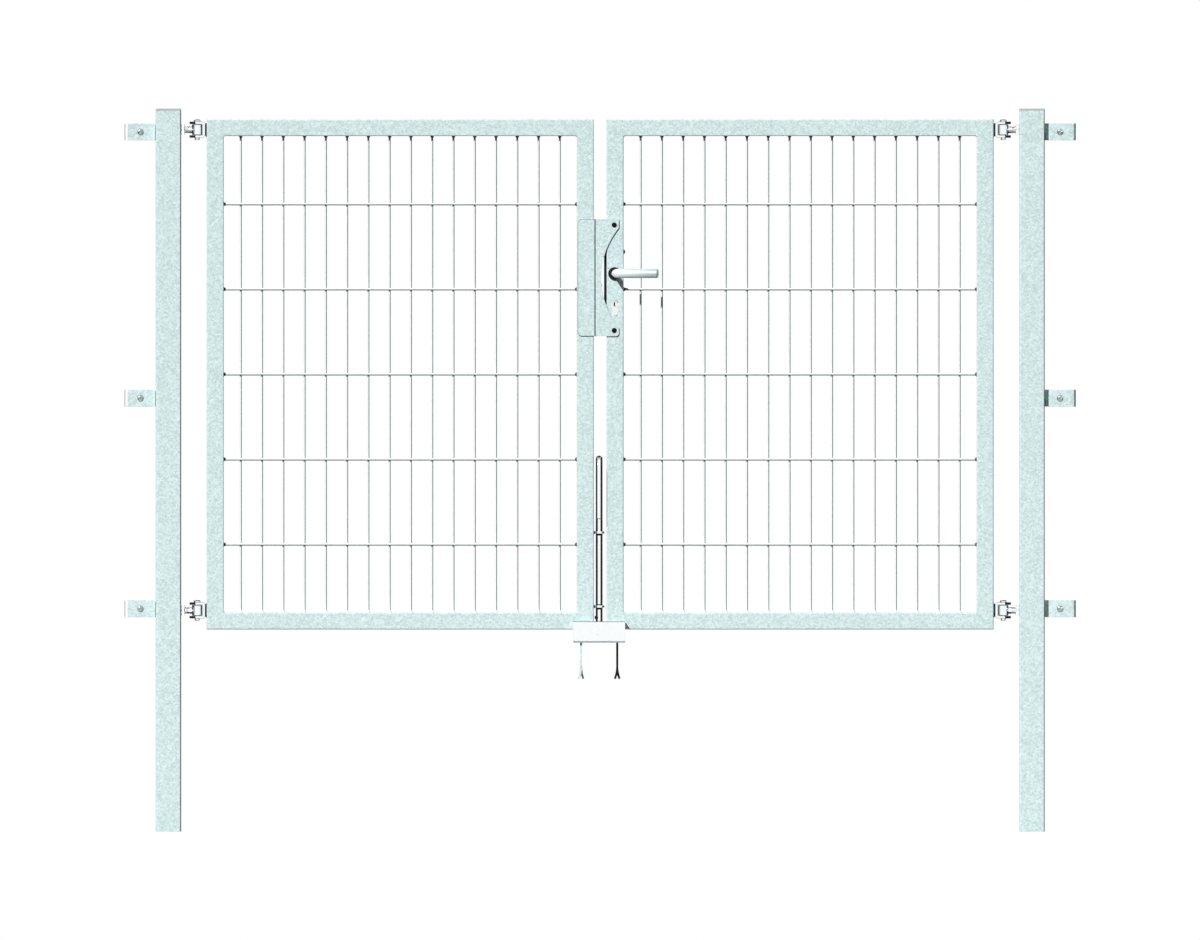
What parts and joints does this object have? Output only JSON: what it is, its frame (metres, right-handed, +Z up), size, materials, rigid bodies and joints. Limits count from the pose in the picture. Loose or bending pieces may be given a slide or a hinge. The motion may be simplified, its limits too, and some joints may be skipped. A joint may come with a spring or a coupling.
{
  "type": "double swing gate",
  "caption": "Galvanised double swing gate: square posts, tube-framed wire-mesh leaves on adjustable hinges, lever lock with keep, drop rod and ground stop.",
  "frame": {"origin": "centre of the left post's foot", "axes": "+X along the gate from the left post to the right one, +Y away from the side with the stop plate and the hood, the way the leaves open, +Z up"},
  "size_m": [2.236, 0.2362, 1.7],
  "materials": {
    "galvanised": "hot-dip galvanised, faint grey-green spangle",
    "bright_zinc": "bright zinc-plated steel",
    "cap_plastic": "plain grey plastic",
    "aluminium": "satin aluminium",
    "nickel": "nickel-plated brass",
    "black_plastic": "black moulded plastic",
    "rubber": "black rubber"
  },
  "bodies": {
    "posts": {"post_left": "galvanised", "post_right": "galvanised", "post_cap_left": "cap_plastic", "post_cap_right": "cap_plastic", "fence_tabs_left": "galvanised", "fence_tabs_right": "galvanised", "fence_clamps_left": "galvanised", "fence_clamps_right": "galvanised", "fence_bolts_left": "bright_zinc", "fence_bolts_right": "bright_zinc", "hinge_eyebolts_left": "bright_zinc", "hinge_eyebolts_right": "bright_zinc", "hinge_nuts_left": "bright_zinc", "hinge_nuts_right": "bright_zinc", "ground_plate": "bright_zinc", "ground_hood": "bright_zinc", "ground_anchors": "bright_zinc"},
    "left_leaf": {"left_hinge_stile": "galvanised", "left_meeting_stile": "galvanised", "left_top_rail": "galvanised", "left_bottom_rail": "galvanised", "left_mesh": "galvanised", "left_clevises": "bright_zinc", "left_hinge_pins": "bright_zinc", "keep": "galvanised", "stop_plate": "galvanised", "stop_buffers": "rubber", "rod_guides": "bright_zinc"},
    "rod": {"drop_rod": "bright_zinc"},
    "right_leaf": {"right_hinge_stile": "galvanised", "right_meeting_stile": "galvanised", "right_top_rail": "galvanised", "right_bottom_rail": "galvanised", "right_mesh": "galvanised", "right_clevises": "bright_zinc", "right_hinge_pins": "bright_zinc", "lock_faceplate": "black_plastic", "lock_case": "bright_zinc", "lock_cylinder": "nickel", "lock_screw": "bright_zinc", "rosettes": "black_plastic"},
    "handle": {"lever_front": "aluminium", "lever_back": "aluminium", "spindle": "bright_zinc"}
  },
  "joints": [
    {"name": "left_leaf_swing", "type": "hinge", "parent": "posts", "child": "left_leaf", "pos_m": [0.0675, 0, 0], "axis": [0, 0, 1], "range_deg": [0, 100]},
    {"name": "right_leaf_swing", "type": "hinge", "parent": "posts", "child": "right_leaf", "pos_m": [1.9625, 0, 0], "axis": [0, 0, -1], "range_deg": [0, 100]},
    {"name": "handle_turn", "type": "hinge", "parent": "right_leaf", "child": "handle", "pos_m": [1.0485, 0, 1.312], "axis": [0, 1, 0], "range_deg": [0, 40], "stiffness_Nm_per_rad": 1.5, "springref_deg": -45.84},
    {"name": "drop_rod_lift", "type": "slide", "parent": "left_leaf", "child": "rod", "axis": [0, 0, 1], "range_m": [-0.025, 0.018]}
  ]
}
